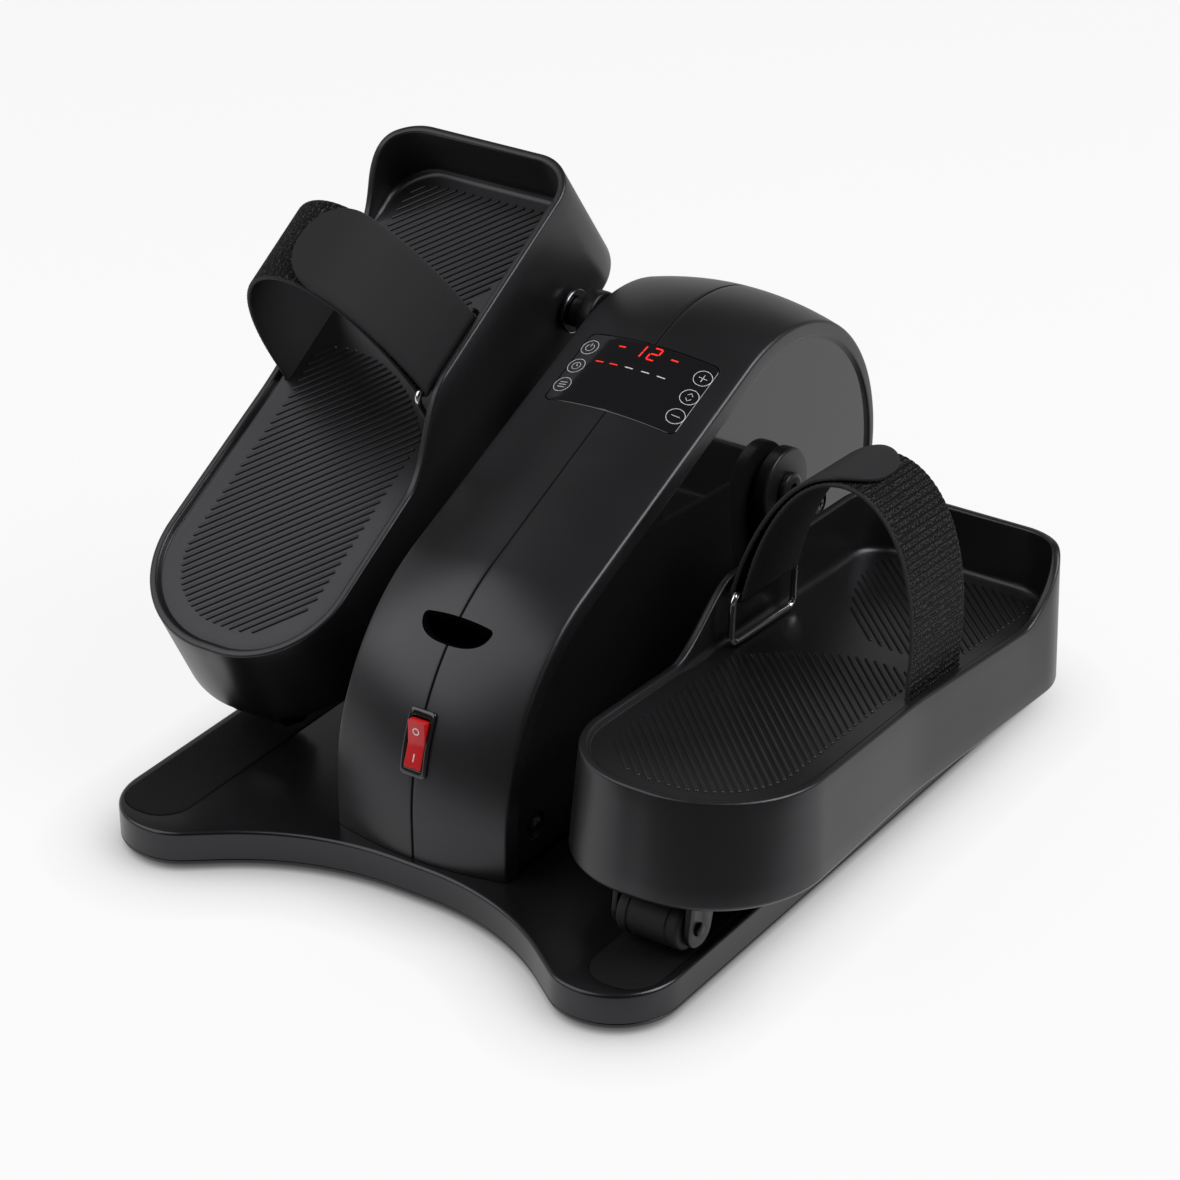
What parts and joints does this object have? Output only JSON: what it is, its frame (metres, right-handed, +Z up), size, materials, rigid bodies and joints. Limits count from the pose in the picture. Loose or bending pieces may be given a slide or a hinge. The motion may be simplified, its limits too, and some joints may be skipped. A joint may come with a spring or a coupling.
{
  "type": "pedal exerciser",
  "caption": "Low electric under-desk pedal exerciser: foot plates with straps ride a motor-driven crank, and their heel rollers run on a base.",
  "frame": {"origin": "on the floor under the middle of the base plate", "axes": "+X to the right of the seated user, +Y away from the user, +Z up"},
  "size_m": [0.3984, 0.3998, 0.2818],
  "materials": {
    "charcoal_plastic": "satin, finely grained",
    "track_rubber": "grained",
    "black_rubber": "matt",
    "black_steel": "satin black",
    "zinc_steel": "zinc plated",
    "chrome_wire": "polished",
    "gloss_panel": "piano black",
    "circuit_board": "solder mask",
    "red_rocker": "moulded",
    "strap_webbing": "ribbed elastic webbing"
  },
  "bodies": {
    "base": {"base_plate": "charcoal_plastic", "roller_track_left": "track_rubber", "roller_track_right": "track_rubber", "rubber_foot_front_left": "black_rubber", "rubber_foot_front_right": "black_rubber", "rubber_foot_rear_left": "black_rubber", "rubber_foot_rear_right": "black_rubber", "housing_left": "charcoal_plastic", "housing_right": "charcoal_plastic", "housing_screw_front": "black_steel", "housing_screw_rear": "black_steel", "control_panel": "gloss_panel", "control_board": "circuit_board", "display_module": "gloss_panel", "hand_recess": "charcoal_plastic", "power_inlet": "charcoal_plastic", "switch_bezel": "charcoal_plastic", "frame_upright_left": "zinc_steel", "frame_upright_right": "zinc_steel", "axle_bearing_left": "zinc_steel", "axle_bearing_right": "zinc_steel", "drive_motor": "black_steel", "drive_belt": "black_rubber"},
    "rocker": {"switch_rocker": "red_rocker"},
    "motor_rotor": {"motor_pulley": "black_steel"},
    "crank": {"crank_axle": "zinc_steel", "driven_pulley": "black_steel", "crank_arm_left": "black_steel", "crank_arm_right": "black_steel", "crank_bolt_left": "black_steel", "crank_bolt_right": "black_steel", "crank_pin_left": "black_steel", "crank_pin_right": "black_steel", "pin_washer_left": "black_steel", "pin_washer_right": "black_steel", "pin_nut_left": "zinc_steel", "pin_nut_right": "zinc_steel"},
    "pedal_left": {"foot_plate_left": "charcoal_plastic", "pin_bush_left": "black_rubber", "roller_bracket_left": "black_steel", "roller_axle_left": "black_steel", "foot_strap_left": "strap_webbing", "strap_loop_left": "chrome_wire"},
    "pedal_right": {"foot_plate_right": "charcoal_plastic", "pin_bush_right": "black_rubber", "roller_bracket_right": "black_steel", "roller_axle_right": "black_steel", "foot_strap_right": "strap_webbing", "strap_loop_right": "chrome_wire"},
    "roller_left": {"heel_roller_left": "black_rubber"},
    "roller_right": {"heel_roller_right": "black_rubber"}
  },
  "joints": [
    {"name": "crank_turn", "type": "hinge", "parent": "base", "child": "crank", "pos_m": [0, 0.09, 0.133], "axis": [1, 0, 0], "range_deg": [0, 60]},
    {"name": "pedal_pivot_left", "type": "hinge", "parent": "crank", "child": "pedal_left", "pos_m": [0, 0.09, 0.199], "axis": [1, 0, 0], "range_deg": [-70, 0]},
    {"name": "pedal_pivot_right", "type": "hinge", "parent": "crank", "child": "pedal_right", "pos_m": [0, 0.09, 0.067], "axis": [1, 0, 0], "range_deg": [-56, 0]},
    {"name": "motor_spin", "type": "hinge", "parent": "base", "child": "motor_rotor", "pos_m": [0.037, -0.02, 0.08], "axis": [1, 0, 0], "range_deg": [0, 180]},
    {"name": "rocker_tilt", "type": "hinge", "parent": "base", "child": "rocker", "pos_m": [0, -0.14326, 0.0824], "axis": [-1, 0, 0], "range_deg": [0, 18]},
    {"name": "roller_spin_left", "type": "hinge", "parent": "pedal_left", "child": "roller_left", "pos_m": [-0.1375, -0.08669, 0.03726], "axis": [1, 0, 0], "continuous": true},
    {"name": "roller_spin_right", "type": "hinge", "parent": "pedal_right", "child": "roller_right", "pos_m": [0.1375, -0.14766, 0.0371], "axis": [1, 0, 0], "continuous": true}
  ],
  "couplings": [
    {"joint": "pedal_pivot_left", "follows": "crank_turn", "ratio": -1.1653},
    {"joint": "pedal_pivot_right", "follows": "crank_turn", "ratio": -0.93},
    {"joint": "motor_spin", "follows": "crank_turn", "ratio": 3}
  ]
}
